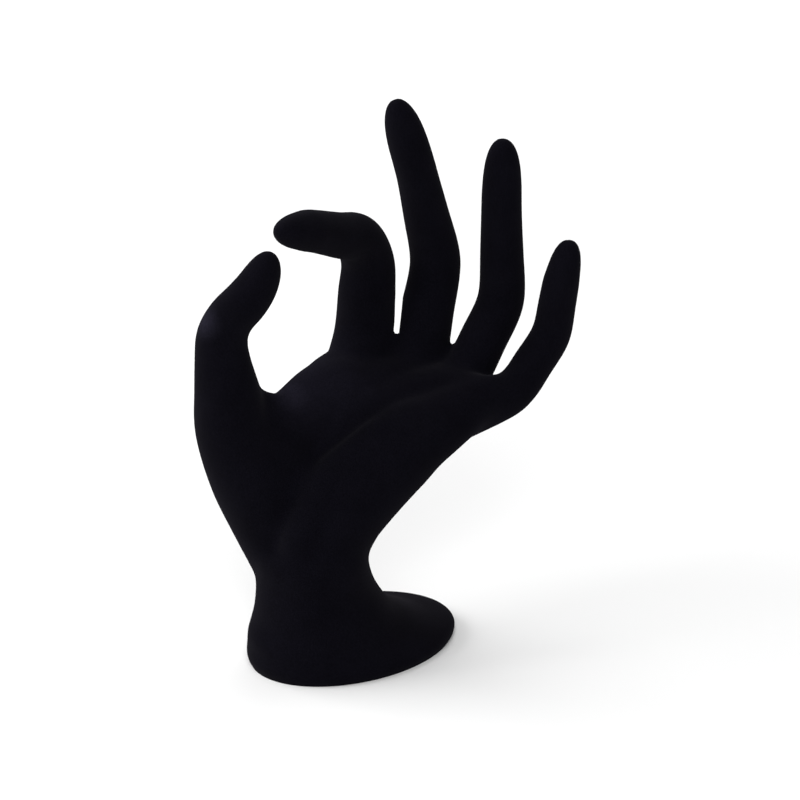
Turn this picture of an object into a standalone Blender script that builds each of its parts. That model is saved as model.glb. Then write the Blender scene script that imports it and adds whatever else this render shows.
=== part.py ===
"""A hand-shaped stand for rings, bracelets and chains: an upright left hand whose thumb and bent
index finger nearly meet, cast in one piece with its wrist and its oval foot, and flocked black."""

import math

import bmesh
import bpy
from mathutils import Matrix, Vector

MM = 0.001

# Sizes are in millimetres and angles in degrees. The origin is the middle of the foot's flat
# underside, and the foot is long along Y. The hand leans towards +Y. Its palm faces -Y and up,
# with the thumb's side at -X, and the whole hand is turned a little about the upright axis.
HAND_TURN = 15.0

# Foot and wrist
FOOT_LENGTH = 72.0
FOOT_WIDTH = 52.0
FOOT_RIM = 4.2
WRIST_WIDTH = 34.5
WRIST_DEPTH = 34.0
WRIST_HEIGHT = 28.0

# Palm
CARPUS = Vector((-6, -6, 49))
PALM_WIDTH = 56.0
PALM_DEPTH = 14.0
PALM_FACING = (0.32, -0.46, 0.83)

# Fingers: the place of the root between the webs, then each phalanx as its length, its lean
# towards the back of the hand and its splay, then the widths at the root, the middle joint and
# the end joint, then the share of a phalanx that is taken up by the bend of the middle joint,
# then how blunt the tip is, from 0 to 1.
FINGERS = {
    "index": (
        (-11.8, 29.5, 85.5),
        ((32.6, 0, 2.6), (32.4, -68, -5), (17.8, -75.3, -5)),
        (18.4, 15.9, 13.3),
        0.2,
        0,
    ),
    "middle": (
        (3.4, 35.3, 82),
        ((29.2, 15.2, 4), (33.2, -18.3, -2.2), (25.1, -16.8, -7.2)),
        (16.6, 15.3, 12.4),
        0.12,
        0.55,
    ),
    "ring": (
        (19.1, 36, 78.5),
        ((24.9, 33, 12.2), (30.5, -4, 1.1), (21.5, 2, 0)),
        (14.4, 14.1, 12.1),
        0.12,
        0.7,
    ),
    "little": (
        (35, 37.2, 75.8),
        ((20.2, 38, 18), (17.5, 0, 9.5), (14, 9, 8.5)),
        (12.4, 12, 11),
        0.12,
        0.75,
    ),
}
FINGER_FLATNESS = 0.93

# Fingertips: the distance from the end, and the width there as a share of the end joint's, first
# for a pointed tip and then for a blunt one.
TIP_SHAPE = ((14, 0.95, 0.99), (7.5, 0.77, 0.92), (2.5, 0.45, 0.72), (0, 0.14, 0.4))

# Casting
SIDES = 24
STEPS = 6
CLAY_GRAIN = 1.2
CLAY_PASSES = 18
FACE_SHARE = 0.16
SAW_DEPTH = 6.0


def direction(lean, splay):
    """Unit vector tilted from upright to the back of the hand and to the little finger's side."""
    lean = math.radians(lean)
    splay = math.radians(splay)
    across = math.sin(splay)
    along = math.cos(splay)
    return Vector((across, along * math.sin(lean), along * math.cos(lean)))


def spline(values, t):
    """Catmull-Rom curve through the values, which are numbers or vectors; t runs from 0 to 1."""
    last = len(values) - 1
    i = min(int(t * last), last - 1)
    u = t * last - i
    b = values[i]
    c = values[i + 1]
    a = values[i - 1] if i > 0 else b * 2 - c
    d = values[i + 2] if i + 2 <= last else c * 2 - b
    bend = (a * 2 - b * 5 + c * 4 - d) * u**2 + (b * 3 - a - c * 3 + d) * u**3
    return (b * 2 + (c - a) * u + bend) * 0.5


def sweep(bm, stations, facing=(0, -1, 0), level=None, turn=HAND_TURN):
    """Closed tube of oval sections through stations of (place, width, depth).

    The depth is measured towards facing. The sections stand square to the path, or only to the
    part of it that runs across the directions in level.
    """
    spin = Matrix.Rotation(math.radians(turn), 3, "Z")
    places = [spin @ Vector(place) for place, width, depth in stations]
    widths = [width for place, width, depth in stations]
    depths = [depth for place, width, depth in stations]
    facing = spin @ Vector(facing)
    level = [spin @ Vector(v) for v in level or ()]
    count = (len(stations) - 1) * STEPS
    rings = []
    for k in range(count + 1):
        t = k / count
        ahead = spline(places, min(t + 0.01, 1)) - spline(places, max(t - 0.01, 0))
        for v in level:
            ahead -= v * ahead.dot(v)
        ahead.normalize()
        front = (facing - ahead * facing.dot(ahead)).normalized()
        side = ahead.cross(front) * spline(widths, t) / 2
        front *= spline(depths, t) / 2
        centre = spline(places, t)
        ring = []
        for j in range(SIDES):
            a = 2 * math.pi * j / SIDES
            ring.append(bm.verts.new((centre + side * math.cos(a) + front * math.sin(a)) * MM))
        rings.append(ring)
    for low, high in zip(rings, rings[1:]):
        for j in range(SIDES):
            n = (j + 1) % SIDES
            bm.faces.new((low[j], low[n], high[n], high[j]))
    bm.faces.new(rings[0])
    bm.faces.new(rings[-1])


def foot(bm):
    """Oval foot that sweeps up to the wrist, set back towards the palm's side."""
    sweep(
        bm,
        [
            ((0, 0, -SAW_DEPTH), FOOT_WIDTH - 8, FOOT_LENGTH - 8),
            ((0, 0.2, -1), FOOT_WIDTH - 3.6, FOOT_LENGTH - 3.6),
            ((0, 0.4, FOOT_RIM / 2), FOOT_WIDTH + 0.8, FOOT_LENGTH + 0.8),
            ((0, -0.3, FOOT_RIM), FOOT_WIDTH - 1, FOOT_LENGTH - 1),
            ((-0.4, -4.9, FOOT_RIM + 2.3), FOOT_WIDTH - 5, FOOT_LENGTH - 11.2),
            ((-0.8, -8.8, FOOT_RIM + 6), FOOT_WIDTH * 0.81, FOOT_LENGTH * 0.745),
            ((-1, -10.6, WRIST_HEIGHT / 2), WRIST_WIDTH + 5.5, WRIST_DEPTH + 11),
            ((-0.8, -12.3, WRIST_HEIGHT - 9.5), WRIST_WIDTH + 2.5, WRIST_DEPTH + 6.5),
            ((-1, -13.5, WRIST_HEIGHT - 5), WRIST_WIDTH + 0.5, WRIST_DEPTH + 3),
            ((-1, -14.5, WRIST_HEIGHT), WRIST_WIDTH, WRIST_DEPTH),
            ((-1, -15, WRIST_HEIGHT + 7), WRIST_WIDTH - 1.5, WRIST_DEPTH - 3),
            ((-3, -9.5, WRIST_HEIGHT + 15), WRIST_WIDTH - 9.5, WRIST_DEPTH - 14),
        ],
        level=((1, 0, 0), (0, 1, 0)),
        turn=0,
    )


def palm(bm):
    """Flat of the hand, from the wrist up to the finger roots."""
    sweep(
        bm,
        [
            ((-5, -14, 24), 30, 26),
            ((-6, -8, 36), 32, 24),
            ((-4, 2, 47), 36, 21),
            ((1, 12, 58), PALM_WIDTH - 14, PALM_DEPTH + 5),
            ((3.2, 21, 68), PALM_WIDTH - 12, PALM_DEPTH + 3),
            ((9.6, 28, 77), PALM_WIDTH - 3, PALM_DEPTH),
            ((10.6, 31.5, 81.5), PALM_WIDTH - 10, PALM_DEPTH / 2),
        ],
        level=((1, 0, 0),),
    )


def heel(bm):
    """Thick outer edge of the palm, from the wrist to the root of the little finger."""
    sweep(
        bm,
        [
            ((-6, -15, 28), 22, 26),
            ((-4.4, -12.8, 36), 29, 27),
            ((-2.5, -10.4, 43.5), 30.5, 26),
            ((5.3, -2.4, 53.9), 27, 24.5),
            ((13.4, 8, 64.6), 25.3, 21.5),
            ((20.7, 15.7, 69.9), 20, 16.5),
            ((29.2, 27.7, 75.7), 14, 11),
            ((34.5, 34.5, 77.2), 11, 10.5),
            ((37.5, 41, 81), 9.5, 9),
            ((39.3, 45, 86), 7.5, 7.5),
        ],
    )


def crest(bm):
    """Soft edge of the heel, along the hollow of the palm."""
    sweep(
        bm,
        [
            ((-5.3, -16.9, 27.5), 9, 9),
            ((-4.7, -20.3, 33.7), 14, 14),
            ((-4.1, -20, 41), 15, 15),
            ((-3.1, -17.8, 45.8), 15, 15),
            ((-2.2, -14.6, 51.7), 14.5, 14.5),
            ((-0.5, -10.7, 57.3), 13.5, 13.5),
            ((2.8, -4.8, 62.1), 12, 12),
            ((9.2, 2.8, 69.5), 10.5, 10.5),
            ((13, 12.3, 72.8), 9, 9),
            ((18.4, 22.2, 74), 8, 8),
        ],
    )


def pad(bm):
    """Shelf of the palm below the finger roots, from the web of the thumb outwards."""
    sweep(
        bm,
        [
            ((-18.8, -7.4, 77), 8, 8),
            ((-12.2, 7.1, 79.2), 17, 10),
            ((-1.1, 17.6, 78.2), 19, 10),
            ((5.7, 24.1, 78.4), 17, 10),
            ((12.1, 33, 77.5), 13, 9),
        ],
        facing=PALM_FACING,
    )


def hollow(bm):
    """Bed of the palm, along the inner side of the heel."""
    sweep(
        bm,
        [
            ((22.9, 32.3, 77), 9, 8),
            ((18.7, 26.5, 78.4), 12, 8),
            ((13.5, 21, 78), 14, 8),
            ((8, 15.5, 75.8), 15, 8),
            ((2.8, 9.4, 73.8), 16, 8),
            ((-1.5, 4.9, 70.2), 17, 8),
            ((-5.8, 0.3, 66.3), 17, 8),
            ((-9.1, -6.2, 62.2), 16, 8),
            ((-9.9, -13.4, 58.2), 13, 8),
            ((-9.9, -17.8, 53.5), 10, 8),
        ],
        facing=PALM_FACING,
    )


def thumb(bm):
    """Ball of the thumb and the thumb itself, up to its tip below the tip of the index finger."""
    sweep(
        bm,
        [
            ((-12.8, -13, 30), 23, 24),
            ((-18.7, -14.2, 44), 26, 26),
            ((-23.1, -18.3, 58), 26, 26),
            ((-27.6, -21, 72), 23, 23),
            ((-29.1, -21.9, 84), 20.4, 19.4),
            ((-30.5, -22, 94), 16.6, 16.6),
            ((-30.5, -22, 101), 15.2, 15.4),
            ((-28, -21, 107), 14.4, 14.3),
            ((-23.7, -20, 112.1), 14, 13.9),
            ((-20.7, -18.5, 116.9), 13.1, 12.8),
            ((-18.5, -17.5, 122.2), 11, 10.8),
            ((-17.5, -17, 126.2), 7.6, 7.4),
            ((-17.2, -17, 128.3), 3.4, 3.4),
        ],
        facing=(1, 0, 0),
    )


def web(bm):
    """Skin between the ball of the thumb and the root of the index finger."""
    sweep(
        bm,
        [
            ((-26, -20, 66), 14, 38),
            ((-20.7, -9, 62), 14, 33),
            ((-17.3, 4, 64.2), 14, 31.7),
            ((-14.5, 16, 70.9), 16, 31.9),
            ((-12, 23, 76), 16, 26),
        ],
        facing=(0, 0, 1),
    )


def web_muscle(bm):
    """Muscle on the inner side of that skin."""
    sweep(
        bm,
        [
            ((-20, -17.3, 62), 13, 24),
            ((-14.5, -10.9, 63), 11, 26),
            ((-11.3, -0.5, 67), 11, 26),
            ((-7.7, 9.4, 71), 12, 24),
            ((-3.6, 18.2, 75), 12, 20),
        ],
        facing=(0, 0, 1),
    )


def ball(bm):
    """Soft swell that leads from the ball of the thumb down into the hollow."""
    sweep(
        bm,
        [
            ((-13.4, -19.3, 61), 16, 8),
            ((-14.6, -17.1, 65.1), 20, 8),
            ((-15.8, -15.1, 68.9), 20, 8),
            ((-16.7, -13.5, 73), 19, 8),
            ((-18.5, -11.1, 76.7), 15, 7),
            ((-20.2, -9.1, 79.6), 11, 6),
        ],
        facing=(0.69, -0.42, 0.59),
    )


def finger(bm, root, phalanges, widths, bend, blunt):
    """One finger with a rounded tip, its metacarpal running on into the palm."""
    joints = [Vector(root)]
    for length, lean, splay in phalanges:
        joints.append(joints[-1] + direction(lean, splay) * length)
    at_root, at_middle, at_end = widths
    inward = (CARPUS - joints[0]).normalized()

    def place(i, share):
        return joints[i].lerp(joints[i + 1], share)

    path = [
        (joints[0].lerp(CARPUS, 0.5), at_root * 0.75),
        (joints[0] + inward * at_root / 2, at_root * 1.04),
        (place(0, 0.1), at_root),
        (place(0, 0.5), (at_root + at_middle) / 2),
        (place(0, 1 - bend), at_middle),
        (place(1, bend), at_middle * 0.98),
        (place(1, 0.5), (at_middle + at_end) / 2),
        (place(1, 0.88), at_end * 1.02),
        (place(2, 0.12), at_end),
    ]
    for back, pointed, rounded in TIP_SHAPE:
        share = pointed + (rounded - pointed) * blunt
        path.append((place(2, 1 - back / phalanges[2][0]), at_end * share))
    wider = FINGER_FLATNESS**-0.5
    sweep(bm, [(centre, width * wider, width / wider) for centre, width in path])


def parting(bm):
    """Narrow wedge between the roots of the index and middle fingers."""
    sweep(
        bm,
        [
            ((-4.9, 38.7, 105), 1.6, 28),
            ((-5.2, 38.6, 100), 2.4, 28),
            ((-5.5, 38.4, 94), 2.1, 28),
            ((-6, 38.1, 88), 1.8, 28),
            ((-6.3, 37.9, 82), 1.5, 28),
            ((-6.5, 37.8, 77), 0.8, 28),
        ],
        facing=(0.5, -0.866, 0),
    )


def link(name, bm):
    """New object from a finished bmesh."""
    mesh = bpy.data.meshes.new(name)
    bmesh.ops.recalc_face_normals(bm, faces=bm.faces)
    bm.to_mesh(mesh)
    bm.free()
    obj = bpy.data.objects.new(name, mesh)
    bpy.context.collection.objects.link(obj)
    return obj


def cutter(name, bm):
    """Object that only cuts others."""
    obj = link(name, bm)
    obj.hide_render = True
    obj.display_type = "WIRE"
    return obj


def finger_saw():
    """Blade that opens the gap between the index and middle fingers."""
    bm = bmesh.new()
    parting(bm)
    return cutter("finger_saw", bm)


def floor_saw():
    """Block that takes off everything below the foot's underside."""
    bm = bmesh.new()
    size = 2 * FOOT_LENGTH * MM
    bmesh.ops.create_cube(bm, size=size)
    bmesh.ops.translate(bm, vec=(0, 0, -size / 2), verts=bm.verts)
    return cutter("floor_saw", bm)


def flock():
    """Short black nylon fibre glued over the whole casting."""
    mat = bpy.data.materials.new("black_flock")
    mat.use_nodes = True
    shader = mat.node_tree.nodes["Principled BSDF"]
    shader.inputs["Base Color"].default_value = (0.006, 0.006, 0.008, 1)
    shader.inputs["Roughness"].default_value = 0.95
    shader.inputs["Metallic"].default_value = 0.0
    return mat


def hand_stand():
    """The casting: masses fused, rubbed smooth, thinned, parted and sawn flat underneath."""
    bm = bmesh.new()
    foot(bm)
    palm(bm)
    heel(bm)
    crest(bm)
    pad(bm)
    hollow(bm)
    thumb(bm)
    web(bm)
    web_muscle(bm)
    ball(bm)
    for root, phalanges, widths, bend, blunt in FINGERS.values():
        finger(bm, root, phalanges, widths, bend, blunt)
    hand = link("hand_stand", bm)
    hand.data.materials.append(flock())

    fuse = hand.modifiers.new("fuse", "REMESH")
    fuse.mode = "VOXEL"
    fuse.voxel_size = CLAY_GRAIN * MM
    fuse.use_smooth_shade = True
    soften = hand.modifiers.new("soften", "SMOOTH")
    soften.factor = 0.5
    soften.iterations = CLAY_PASSES
    thin = hand.modifiers.new("thin", "DECIMATE")
    thin.ratio = FACE_SHARE
    for blade in (finger_saw(), floor_saw()):
        saw = hand.modifiers.new(blade.name, "BOOLEAN")
        saw.operation = "DIFFERENCE"
        saw.solver = "EXACT"
        saw.object = blade


for old in list(bpy.data.objects):
    bpy.data.objects.remove(old)
hand_stand()
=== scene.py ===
"""Black flocked left hand on an oval foot, for showing rings, bracelets and chains."""

import bmesh
import bpy
import numpy as np
from mathutils import Matrix


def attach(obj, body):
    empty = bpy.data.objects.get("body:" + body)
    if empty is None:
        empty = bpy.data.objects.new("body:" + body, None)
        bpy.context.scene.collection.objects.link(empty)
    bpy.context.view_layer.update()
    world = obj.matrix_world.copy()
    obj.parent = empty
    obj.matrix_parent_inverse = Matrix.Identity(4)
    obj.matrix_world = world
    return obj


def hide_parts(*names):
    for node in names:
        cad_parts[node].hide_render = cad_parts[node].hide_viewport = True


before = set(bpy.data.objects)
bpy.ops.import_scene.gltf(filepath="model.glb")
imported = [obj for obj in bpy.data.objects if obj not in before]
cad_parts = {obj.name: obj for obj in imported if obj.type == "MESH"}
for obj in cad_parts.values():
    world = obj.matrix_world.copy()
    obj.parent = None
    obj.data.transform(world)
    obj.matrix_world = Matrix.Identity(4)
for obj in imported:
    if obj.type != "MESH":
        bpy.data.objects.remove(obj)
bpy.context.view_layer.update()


# Foot and wrist
# The foot is a thin oval plate that sweeps up into a short wrist. It is part of the resin casting,
# modelled in clay as one mass with the hand, so its shape runs below the table and is sawn off there.

MM = 0.001
HAND_TURN = 15.0
FOOT_LENGTH = 72.0
FOOT_WIDTH = 52.0
FOOT_RIM = 4.2
WRIST_WIDTH = 34.5
WRIST_DEPTH = 34.0
WRIST_HEIGHT = 28.0
SAW_DEPTH = 6.0


def curve_through(rows, count):
    """Catmull-Rom curve through the rows of a table, read at count even steps.

    Between the rows b and c, with a before and d after them, the value at u is half of
    2b + (c - a) u + (2a - 5b + 4c - d) u^2 + (3b - a - 3c + d) u^3.
    """
    rows = np.array(rows, float)
    rows = np.vstack([2 * rows[0] - rows[1], rows, 2 * rows[-1] - rows[-2]])
    at = np.linspace(0, len(rows) - 3, count)
    i = np.minimum(at.astype(int), len(rows) - 4)
    u = (at - i)[:, None]
    a, b, c, d = rows[i], rows[i + 1], rows[i + 2], rows[i + 3]
    curve = 2 * b + (c - a) * u + (2 * a - 5 * b + 4 * c - d) * u**2
    return (curve + (3 * b - a - 3 * c + d) * u**3) / 2


def turned(v, degrees):
    """Rows of x, y and z turned about the upright axis."""
    a = np.radians(degrees)
    spin = np.array([[np.cos(a), -np.sin(a), 0], [np.sin(a), np.cos(a), 0], [0, 0, 1]])
    return np.asarray(v, float) @ spin.T


def unit(v):
    """Rows scaled to length one."""
    return v / np.linalg.norm(v, axis=-1, keepdims=True)


def mass(stations, facing=(0, -1, 0), level=(), turn=HAND_TURN, sides=48, steps=10):
    """Closed clay mass: oval sections of (x, y, z, width, depth) carried along a curved path.

    The point at t along the path and at angle a round it is the centre, plus half the width times
    cos a along the side, plus half the depth times sin a along the front. The front is facing
    made square to the path. A path that is level in a direction keeps its sections upright in it.
    """
    table = curve_through(stations, (len(stations) - 1) * steps + 1)
    centre = turned(table[:, :3], turn)
    ahead = np.gradient(centre, axis=0)
    for v in turned(np.array(level, float).reshape(-1, 3), turn):
        ahead -= np.outer(ahead @ v, v)
    ahead = unit(ahead)
    facing = turned(facing, turn)
    front = unit(facing - ahead * (ahead @ facing)[:, None])
    side = np.cross(ahead, front)
    a = np.linspace(0, 2 * np.pi, sides, endpoint=False)[None, :, None]
    side = (side * table[:, 3:4] / 2)[:, None] * np.cos(a)
    front = (front * table[:, 4:5] / 2)[:, None] * np.sin(a)
    return centre[:, None] + side + front


def foot():
    """Oval plate with a rounded rim that sweeps up to the wrist, set back to the palm's side."""
    return mass(
        [
            (0, 0, -SAW_DEPTH, FOOT_WIDTH - 8, FOOT_LENGTH - 8),
            (0, 0.2, -1, FOOT_WIDTH - 3.6, FOOT_LENGTH - 3.6),
            (0, 0.4, FOOT_RIM / 2, FOOT_WIDTH + 0.8, FOOT_LENGTH + 0.8),
            (0, -0.3, FOOT_RIM, FOOT_WIDTH - 1, FOOT_LENGTH - 1),
            (-0.4, -4.9, FOOT_RIM + 2.3, FOOT_WIDTH - 5, FOOT_LENGTH - 11.2),
            (-0.8, -8.8, FOOT_RIM + 6, FOOT_WIDTH * 0.81, FOOT_LENGTH * 0.745),
            (-1, -10.6, WRIST_HEIGHT / 2, WRIST_WIDTH + 5.5, WRIST_DEPTH + 11),
            (-0.8, -12.3, WRIST_HEIGHT - 9.5, WRIST_WIDTH + 2.5, WRIST_DEPTH + 6.5),
            (-1, -13.5, WRIST_HEIGHT - 5, WRIST_WIDTH + 0.5, WRIST_DEPTH + 3),
            (-1, -14.5, WRIST_HEIGHT, WRIST_WIDTH, WRIST_DEPTH),
            (-1, -15, WRIST_HEIGHT + 7, WRIST_WIDTH - 1.5, WRIST_DEPTH - 3),
            (-3, -9.5, WRIST_HEIGHT + 15, WRIST_WIDTH - 9.5, WRIST_DEPTH - 14),
        ],
        level=((1, 0, 0), (0, 1, 0)),
        turn=0,
    )


clay = [foot()]


# Palm
# The flat of the cast hand is a slab that widens from the wrist to the finger roots. A thick roll
# of clay is laid on its outer edge, and thin ones make the shelf and the hollow beside it.

PALM_WIDTH = 56.0
PALM_DEPTH = 14.0


def palm():
    """Slab from the wrist to the finger roots."""
    return mass(
        [
            (-5, -14, 24, 30, 26),
            (-6, -8, 36, 32, 24),
            (-4, 2, 47, 36, 21),
            (1, 12, 58, PALM_WIDTH - 14, PALM_DEPTH + 5),
            (3.2, 21, 68, PALM_WIDTH - 12, PALM_DEPTH + 3),
            (9.6, 28, 77, PALM_WIDTH - 3, PALM_DEPTH),
            (10.6, 31.5, 81.5, PALM_WIDTH - 10, PALM_DEPTH / 2),
        ],
        level=((1, 0, 0),),
    )


def heel():
    """Roll along the outer edge of the palm, thick at the wrist and thin at the little finger."""
    return mass(
        [
            (-6, -15, 28, 22, 26),
            (-4.4, -12.8, 36, 29, 27),
            (-2.5, -10.4, 43.5, 30.5, 26),
            (5.3, -2.4, 53.9, 27, 24.5),
            (13.4, 8, 64.6, 25.3, 21.5),
            (20.7, 15.7, 69.9, 20, 16.5),
            (29.2, 27.7, 75.7, 14, 11),
            (34.5, 34.5, 77.2, 11, 10.5),
            (37.5, 41, 81, 9.5, 9),
            (39.3, 45, 86, 7.5, 7.5),
        ]
    )


def crest():
    """Soft edge of that roll, along the hollow of the palm."""
    return mass(
        [
            (-5.3, -16.9, 27.5, 9, 9),
            (-4.7, -20.3, 33.7, 14, 14),
            (-4.1, -20, 41, 15, 15),
            (-3.1, -17.8, 45.8, 15, 15),
            (-2.2, -14.6, 51.7, 14.5, 14.5),
            (-0.5, -10.7, 57.3, 13.5, 13.5),
            (2.8, -4.8, 62.1, 12, 12),
            (9.2, 2.8, 69.5, 10.5, 10.5),
            (13, 12.3, 72.8, 9, 9),
            (18.4, 22.2, 74, 8, 8),
        ]
    )


def pad():
    """Shelf of the palm below the finger roots, from the web of the thumb outwards."""
    return mass(
        [
            (-18.8, -7.4, 77, 8, 8),
            (-12.2, 7.1, 79.2, 17, 10),
            (-1.1, 17.6, 78.2, 19, 10),
            (5.7, 24.1, 78.4, 17, 10),
            (12.1, 33, 77.5, 13, 9),
        ],
        facing=(0.285, -0.494, 0.82),
    )


def hollow():
    """Bed of the palm, along the inner side of the outer roll."""
    return mass(
        [
            (22.9, 32.3, 77, 9, 8),
            (18.7, 26.5, 78.4, 12, 8),
            (13.5, 21, 78, 14, 8),
            (8, 15.5, 75.8, 15, 8),
            (2.8, 9.4, 73.8, 16, 8),
            (-1.5, 4.9, 70.2, 17, 8),
            (-5.8, 0.3, 66.3, 17, 8),
            (-9.1, -6.2, 62.2, 16, 8),
            (-9.9, -13.4, 58.2, 13, 8),
            (-9.9, -17.8, 53.5, 10, 8),
        ],
        facing=(0.36, -0.42, 0.83),
    )


clay += [palm(), heel(), crest(), pad(), hollow()]


# Thumb
# The ball of the thumb rises from the wrist and the thumb bends in at its knuckle, with its tip
# just below the index finger's. A sheet of skin joins the ball to the root of the index finger.


def thumb():
    """Ball of the thumb and the thumb, from the wrist up to the tip."""
    return mass(
        [
            (-12.8, -13, 30, 23, 24),
            (-18.7, -14.2, 44, 26, 26),
            (-23.1, -18.3, 58, 26, 26),
            (-27.6, -21, 72, 23, 23),
            (-29.1, -21.9, 84, 20.4, 19.4),
            (-30.5, -22, 94, 16.6, 16.6),
            (-30.5, -22, 101, 15.2, 15.4),
            (-28, -21, 107, 14.4, 14.3),
            (-23.7, -20, 112.1, 14, 13.9),
            (-20.7, -18.5, 116.9, 13.1, 12.8),
            (-18.5, -17.5, 122.2, 11, 10.8),
            (-17.5, -17, 126.2, 7.6, 7.4),
            (-17.2, -17, 128.3, 3.4, 3.4),
        ],
        facing=(1, 0, 0),
    )


def web():
    """Skin between the ball of the thumb and the index finger."""
    return mass(
        [
            (-26, -20, 66, 14, 38),
            (-20.7, -9, 62, 14, 33),
            (-17.3, 4, 64.2, 14, 31.7),
            (-14.5, 16, 70.9, 16, 31.9),
            (-12, 23, 76, 16, 26),
        ],
        facing=(0, 0, 1),
    )


def web_muscle():
    """Muscle on the inner side of that skin."""
    return mass(
        [
            (-20, -17.3, 62, 13, 24),
            (-14.5, -10.9, 63, 11, 26),
            (-11.3, -0.5, 67, 11, 26),
            (-7.7, 9.4, 71, 12, 24),
            (-3.6, 18.2, 75, 12, 20),
        ],
        facing=(0, 0, 1),
    )


def ball():
    """Soft swell that leads from the ball of the thumb down into the hollow."""
    return mass(
        [
            (-13.4, -19.3, 61, 16, 8),
            (-14.6, -17.1, 65.1, 20, 8),
            (-15.8, -15.1, 68.9, 20, 8),
            (-16.7, -13.5, 73, 19, 8),
            (-18.5, -11.1, 76.7, 15, 7),
            (-20.2, -9.1, 79.6, 11, 6),
        ],
        facing=(0.69, -0.42, 0.59),
    )


clay += [thumb(), web(), web_muscle(), ball()]


# Fingers
# Index, middle, ring and little finger, cast in one with the palm. Each is one tapering mass with
# soft bends and a rounded tip, without nails, and runs on into the palm as its own metacarpal.

CARPUS = np.array((-6, -6, 49.0))
FINGER_FLATNESS = 0.93
TIP_SHAPE = ((14, 0.95, 0.99), (7.5, 0.77, 0.92), (2.5, 0.45, 0.72), (0, 0.14, 0.4))


def finger(root, phalanges, widths, bend, blunt):
    """Finger from its root, through three phalanges of (length, lean, splay), to its tip.

    A phalanx's end is its start plus its length along (sin splay, cos splay sin lean,
    cos splay cos lean). Widths are those at the root, the middle joint and the end joint, and
    bend is the share of a phalanx that the curve of the middle joint takes up. The tip's width
    runs from that of a pointed one, blunt 0, to that of a round one, blunt 1.
    """
    joints = [np.array(root, float)]
    for length, lean, splay in phalanges:
        lean = np.radians(lean)
        splay = np.radians(splay)
        along = (np.sin(splay), np.cos(splay) * np.sin(lean), np.cos(splay) * np.cos(lean))
        joints.append(joints[-1] + length * np.array(along))
    at_root, at_middle, at_end = widths
    inward = unit(CARPUS - joints[0])

    def along_phalanx(i, share):
        return joints[i] * (1 - share) + joints[i + 1] * share

    path = [
        (joints[0] * 0.5 + CARPUS * 0.5, at_root * 0.75),
        (joints[0] + inward * at_root / 2, at_root * 1.04),
        (along_phalanx(0, 0.1), at_root),
        (along_phalanx(0, 0.5), (at_root + at_middle) / 2),
        (along_phalanx(0, 1 - bend), at_middle),
        (along_phalanx(1, bend), at_middle * 0.98),
        (along_phalanx(1, 0.5), (at_middle + at_end) / 2),
        (along_phalanx(1, 0.88), at_end * 1.02),
        (along_phalanx(2, 0.12), at_end),
    ]
    for back, pointed, rounded in TIP_SHAPE:
        share = pointed + (rounded - pointed) * blunt
        path.append((along_phalanx(2, 1 - back / phalanges[2][0]), at_end * share))
    wider = FINGER_FLATNESS**-0.5
    return mass([(*centre, width * wider, width / wider) for centre, width in path])


clay += [
    finger(
        root=(-11.8, 29.5, 85.5),
        phalanges=((32.6, 0, 2.6), (32.4, -68, -5), (17.8, -75.3, -5)),
        widths=(18.4, 15.9, 13.3),
        bend=0.2,
        blunt=0,
    ),
    finger(
        root=(3.4, 35.3, 82),
        phalanges=((29.2, 15.2, 4), (33.2, -18.3, -2.2), (25.1, -16.8, -7.2)),
        widths=(16.6, 15.3, 12.4),
        bend=0.12,
        blunt=0.55,
    ),
    finger(
        root=(19.1, 36, 78.5),
        phalanges=((24.9, 33, 12.2), (30.5, -4, 1.1), (21.5, 2, 0)),
        widths=(14.4, 14.1, 12.1),
        bend=0.12,
        blunt=0.7,
    ),
    finger(
        root=(35, 37.2, 75.8),
        phalanges=((20.2, 38, 18), (17.5, 0, 9.5), (14, 9, 8.5)),
        widths=(12.4, 12, 11),
        bend=0.12,
        blunt=0.75,
    ),
]


def cleft():
    """Narrow gap that parts the roots of the index and middle fingers, cut out of the clay."""
    return mass(
        [
            (-4.9, 38.7, 105, 1.6, 28),
            (-5.2, 38.6, 100, 2.4, 28),
            (-5.5, 38.4, 94, 2.2, 28),
            (-6, 38.1, 88, 2.1, 28),
            (-6.3, 37.9, 82, 1.9, 28),
            (-6.5, 37.8, 76, 1.4, 28),
        ],
        facing=(0.5, -0.866, 0),
    )


# Casting
# The clay masses are pressed together, rubbed smooth and cast in resin as one piece, and the cast
# foot is sawn flat underneath.

CLAY_GRAIN = 0.75
SOFTNESS = 2.55
CUT_SOFTNESS = 0.65


def closed_mesh(name, shapes):
    """Mesh of closed tubes: each grid of sections gets its quads and a face on either end."""
    verts = []
    faces = []
    for grid in shapes:
        n, m = grid.shape[:2]
        k = sum(len(v) for v in verts) + np.arange(n * m).reshape(n, m)
        low, high = k[:-1], k[1:]
        quads = np.stack([low, high, np.roll(high, -1, 1), np.roll(low, -1, 1)], -1)
        faces += quads.reshape(-1, 4).tolist() + [k[0].tolist(), k[-1, ::-1].tolist()]
        verts.append(grid.reshape(-1, 3) * MM)
    mesh = bpy.data.meshes.new(name)
    mesh.from_pydata(np.vstack(verts).tolist(), [], faces)
    return mesh


def smooth_clay(obj, step, softness):
    """Fuse the masses at the grain of the clay, then rub them until edges round by the softness."""
    fuse = obj.modifiers.new("fuse_" + step, "REMESH")
    fuse.mode = "VOXEL"
    fuse.voxel_size = CLAY_GRAIN * MM
    fuse.use_smooth_shade = True
    rub = obj.modifiers.new("rub_" + step, "SMOOTH")
    rub.factor = 0.5
    rub.iterations = round(4 * (softness / CLAY_GRAIN) ** 2)


def finished(obj):
    """Work the object's modifiers into its mesh."""
    bpy.context.view_layer.update()
    mesh = bpy.data.meshes.new_from_object(obj.evaluated_get(bpy.context.evaluated_depsgraph_get()))
    obj.modifiers.clear()
    obj.data = mesh


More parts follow.
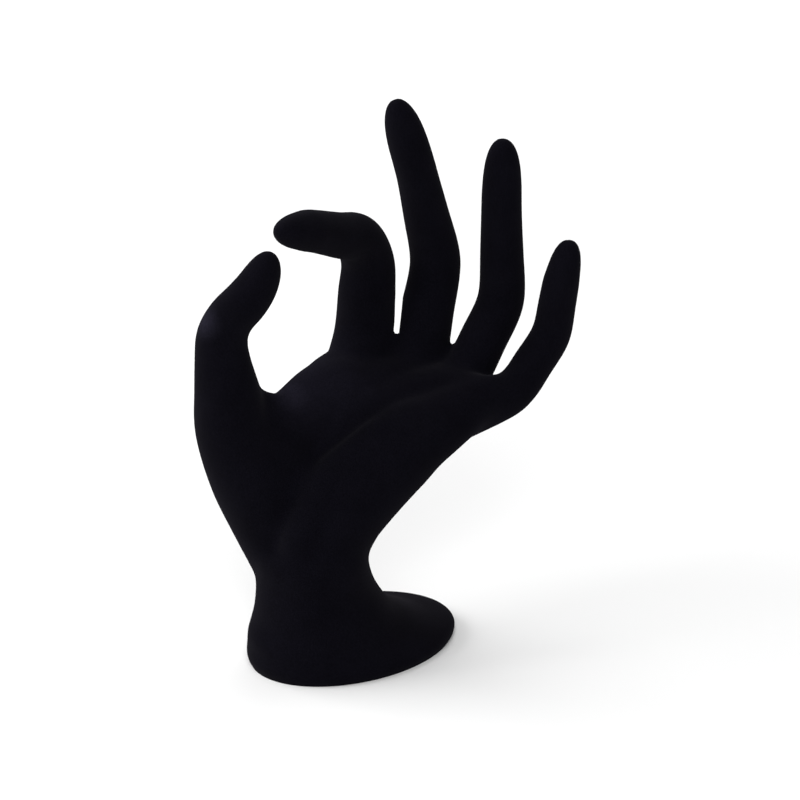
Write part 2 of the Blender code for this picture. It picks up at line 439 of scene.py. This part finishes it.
hand = bpy.data.objects.new("flocked_hand", closed_mesh("flocked_hand", clay))
bpy.context.collection.objects.link(hand)
knife = bpy.data.objects.new("knife", closed_mesh("knife", [cleft()]))
bpy.context.collection.objects.link(knife)
smooth_clay(hand, "body", SOFTNESS)
part_fingers = hand.modifiers.new("part_fingers", "BOOLEAN")
part_fingers.operation = "DIFFERENCE"
part_fingers.object = knife
smooth_clay(hand, "cut", CUT_SOFTNESS)
finished(hand)
bpy.data.objects.remove(knife)

bm = bmesh.new()
bm.from_mesh(hand.data)
everything = bm.verts[:] + bm.edges[:] + bm.faces[:]
bmesh.ops.bisect_plane(bm, geom=everything, plane_co=(0, 0, 0), plane_no=(0, 0, 1), clear_inner=True)
sole_edge = [e for e in bm.edges if e.is_boundary]
sole = bmesh.ops.triangle_fill(bm, use_beauty=True, edges=sole_edge, normal=(0, 0, -1))
for e in sole_edge:
    e.smooth = False
for face in sole["geom"]:
    if isinstance(face, bmesh.types.BMFace):
        face.smooth = False
bmesh.ops.recalc_face_normals(bm, faces=bm.faces)
bm.to_mesh(hand.data)
bm.free()


# Flock
# Short black nylon fibres stand in glue all over the casting. They swallow nearly all light, glow
# a little where they are seen from the side, and lie in soft patches where the pile was combed.
# Three spots of the black are painted lighter: painted light on the palm's shelf and on the web of
# the thumb, and a painted highlight on the thumb's knuckle.

BLACK = (0.0029, 0.00268, 0.0044, 1)
GLOW = 0.02
GLOW_TINT = (0.92, 0.88, 1.0, 1)
FIBRE = 0.35 * MM
FIBRE_HEIGHT = 0.1 * MM
PATCH = 14 * MM
# Spots painted lighter, as (centre in mm, radius in mm, gain): painted light on the palm's shelf,
# painted light on the web of the thumb and a painted highlight on the thumb's knuckle.
PAINTED_LIGHT_SPOTS = (((-12.4, -0.4, 81), 22, 2.2), ((-13.9, -11.7, 79.9), 8, 2.2), ((-24.6, -33.9, 106.3), 7, 3.6))

flock = bpy.data.materials.new("black_flock")
flock.use_nodes = True
nodes = flock.node_tree.nodes
links = flock.node_tree.links
shader = nodes["Principled BSDF"]
shader.inputs["Metallic"].default_value = 0.0
shader.inputs["Specular IOR Level"].default_value = 0.0
shader.inputs["Roughness"].default_value = 0.9
shader.inputs["Sheen Weight"].default_value = GLOW
shader.inputs["Sheen Roughness"].default_value = 0.5
shader.inputs["Sheen Tint"].default_value = GLOW_TINT
coords = nodes.new("ShaderNodeTexCoord")


def cloud(scale, detail):
    """Noise in the hand's own space, with features of about the given size."""
    noise = nodes.new("ShaderNodeTexNoise")
    noise.inputs["Scale"].default_value = 1 / scale
    noise.inputs["Detail"].default_value = detail
    noise.inputs["Roughness"].default_value = 0.6
    links.new(coords.outputs["Object"], noise.inputs["Vector"])
    return noise.outputs["Fac"]


def remap(value, low, high):
    """The middle half of a noise's range stretched to run from low to high."""
    node = nodes.new("ShaderNodeMapRange")
    node.inputs["From Min"].default_value = 0.25
    node.inputs["From Max"].default_value = 0.75
    node.inputs["To Min"].default_value = low
    node.inputs["To Max"].default_value = high
    links.new(value, node.inputs["Value"])
    return node.outputs["Result"]


def painted_light_spot(centre, radius, gain):
    """Gain for a spot of painted light, falling smoothly from its full value at the centre of a patch to
    1 at the edge.
    """
    away = nodes.new("ShaderNodeVectorMath")
    away.operation = "DISTANCE"
    away.inputs[1].default_value = np.array(centre) * MM
    links.new(coords.outputs["Object"], away.inputs[0])
    fade = nodes.new("ShaderNodeMapRange")
    fade.interpolation_type = "SMOOTHSTEP"
    fade.inputs["From Max"].default_value = radius * MM
    fade.inputs["To Min"].default_value = gain
    fade.inputs["To Max"].default_value = 1.0
    links.new(away.outputs["Value"], fade.inputs["Value"])
    return fade.outputs["Result"]


def times(a, b):
    """Product of two values."""
    node = nodes.new("ShaderNodeMath")
    node.operation = "MULTIPLY"
    links.new(a, node.inputs[0])
    links.new(b, node.inputs[1])
    return node.outputs["Value"]


fibres = cloud(FIBRE, 2)
shade = times(remap(fibres, 0.6, 1.4), remap(cloud(PATCH, 3), 0.8, 1.2))
# The spots of painted light and the painted highlight are multiplied into the grain and tone.
for patch in PAINTED_LIGHT_SPOTS:
    shade = times(shade, painted_light_spot(*patch))
# The black of the flock times its random grain and tone and the spots of painted light.
black = nodes.new("ShaderNodeMix")
black.data_type = "RGBA"
black.blend_type = "MULTIPLY"
black.inputs["Factor"].default_value = 1.0
black.inputs["A"].default_value = BLACK
links.new(shade, black.inputs["B"])
links.new(black.outputs["Result"], shader.inputs["Base Color"])
bump = nodes.new("ShaderNodeBump")
bump.inputs["Strength"].default_value = 0.5
bump.inputs["Distance"].default_value = FIBRE_HEIGHT
links.new(fibres, bump.inputs["Height"])
links.new(bump.outputs["Normal"], shader.inputs["Normal"])

hand.data.materials.clear()
hand.data.materials.append(flock)
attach(hand, "root")
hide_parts("hand_stand")


# Table
# The stand is shown on a plain matt white table. Away from the stand the table runs on into a lit
# white backdrop, so no edge of it is seen from any side.

TABLE_WHITE = 0.8
TABLE_TOP = 0.35
TABLE_SIZE = 4.0
TABLE_GLOW = 0.03
BACKDROP_GLOW = 1.0

table = bpy.data.materials.new("white_table")
table.use_nodes = True
nodes = table.node_tree.nodes
links = table.node_tree.links
shader = nodes["Principled BSDF"]
shader.inputs["Base Color"].default_value = (TABLE_WHITE, TABLE_WHITE, TABLE_WHITE, 1)
shader.inputs["Roughness"].default_value = 0.9
shader.inputs["Specular IOR Level"].default_value = 0.1
shader.inputs["Emission Color"].default_value = (1, 1, 1, 1)
coords = nodes.new("ShaderNodeTexCoord")
away = nodes.new("ShaderNodeVectorMath")
away.operation = "LENGTH"
links.new(coords.outputs["Object"], away.inputs[0])
backdrop = nodes.new("ShaderNodeMapRange")
backdrop.interpolation_type = "SMOOTHSTEP"
backdrop.inputs["From Min"].default_value = TABLE_TOP
backdrop.inputs["From Max"].default_value = TABLE_TOP * 3
backdrop.inputs["To Min"].default_value = TABLE_GLOW
backdrop.inputs["To Max"].default_value = BACKDROP_GLOW
links.new(away.outputs["Value"], backdrop.inputs["Value"])
seen = nodes.new("ShaderNodeLightPath")
lift = nodes.new("ShaderNodeMath")
lift.operation = "MULTIPLY"
links.new(seen.outputs["Is Camera Ray"], lift.inputs[0])
links.new(backdrop.outputs["Result"], lift.inputs[1])
links.new(lift.outputs["Value"], shader.inputs["Emission Strength"])

a = np.linspace(0, 2 * np.pi, 97)[:-1]
rim = TABLE_SIZE * np.stack([np.cos(a), np.sin(a), 0 * a], -1)
floor = bpy.data.objects.new("table", bpy.data.meshes.new("table"))
floor.data.from_pydata(rim.tolist(), [], [list(range(len(a)))])
floor.data.materials.append(table)
bpy.context.collection.objects.link(floor)


# Light
# Five square softboxes light the stand: three on the left, one over the camera and one above and
# behind. The room is white and adds some light from all sides.

CAMERA_AZIMUTH = np.radians(45)
RIGHT = np.array((np.cos(CAMERA_AZIMUTH), np.sin(CAMERA_AZIMUTH), 0))
FRONT = np.array((np.sin(CAMERA_AZIMUTH), -np.cos(CAMERA_AZIMUTH), 0))
UP = np.array((0, 0, 1.0))
LIT_POINT = (0, 0, 0.08)
SOFTBOX_SIZE = 0.7
SOFTBOXES = (
    ("left_softbox", (-1.3, 0, 0.7), 9.3),
    ("rear_left_softbox", (-1.1, -0.7, 0.7), 6.7),
    ("high_left_softbox", (-0.9, 0.35, 1.2), 5.6),
    ("front_softbox", (0, 1.2, 1), 11.8),
    ("top_softbox", (0, -0.6, 1.3), 5.4),
)
ROOM_LIGHT = 0.4
ROOM_WHITE = 1.0


def put(obj, place, target):
    """Object at a place, its -Z towards the target and its X level."""
    back = unit(np.array(place, float) - np.array(target, float))
    right = unit(np.cross(UP, back))
    turn = np.stack([right, np.cross(back, right), back, place], -1)
    obj.matrix_world = Matrix([*turn.tolist(), [0, 0, 0, 1]])
    bpy.context.collection.objects.link(obj)


for name, (right, front, up), power in SOFTBOXES:
    lamp = bpy.data.lights.new(name, "AREA")
    lamp.size = SOFTBOX_SIZE
    lamp.energy = power
    put(bpy.data.objects.new(name, lamp), RIGHT * right + FRONT * front + UP * up, LIT_POINT)

world = bpy.data.worlds.new("white_room")
bpy.context.scene.world = world
world.use_nodes = True
nodes = world.node_tree.nodes
links = world.node_tree.links
room = nodes["Background"]
room.inputs["Color"].default_value = (1, 1, 1, 1)
seen = nodes.new("ShaderNodeLightPath")
level = nodes.new("ShaderNodeMapRange")
level.inputs["To Min"].default_value = ROOM_LIGHT
level.inputs["To Max"].default_value = ROOM_WHITE
links.new(seen.outputs["Is Camera Ray"], level.inputs["Value"])
links.new(level.outputs["Result"], room.inputs["Strength"])


# Camera
# It stands a metre and a half away and looks down on the hand at an angle of 24.5 degrees, with a
# long lens that keeps the hand nearly free of perspective.

CAMERA_ELEVATION = np.radians(24.5)
CAMERA_DISTANCE = 1.5
AIM_RIGHT = 0.0151
AIM_UP = 0.0736
LENS = 224.0
SENSOR = 36.0

towards = np.cos(CAMERA_ELEVATION) * FRONT + np.sin(CAMERA_ELEVATION) * UP
aim = RIGHT * AIM_RIGHT + np.cross(towards, RIGHT) * AIM_UP
lens = bpy.data.cameras.new("camera")
lens.lens = LENS
lens.sensor_width = SENSOR
lens.clip_start = 0.05
lens.clip_end = 50
camera = bpy.data.objects.new("camera", lens)
put(camera, towards * CAMERA_DISTANCE, aim)
scene = bpy.context.scene
scene.camera = camera
scene.view_settings.view_transform = "Standard"
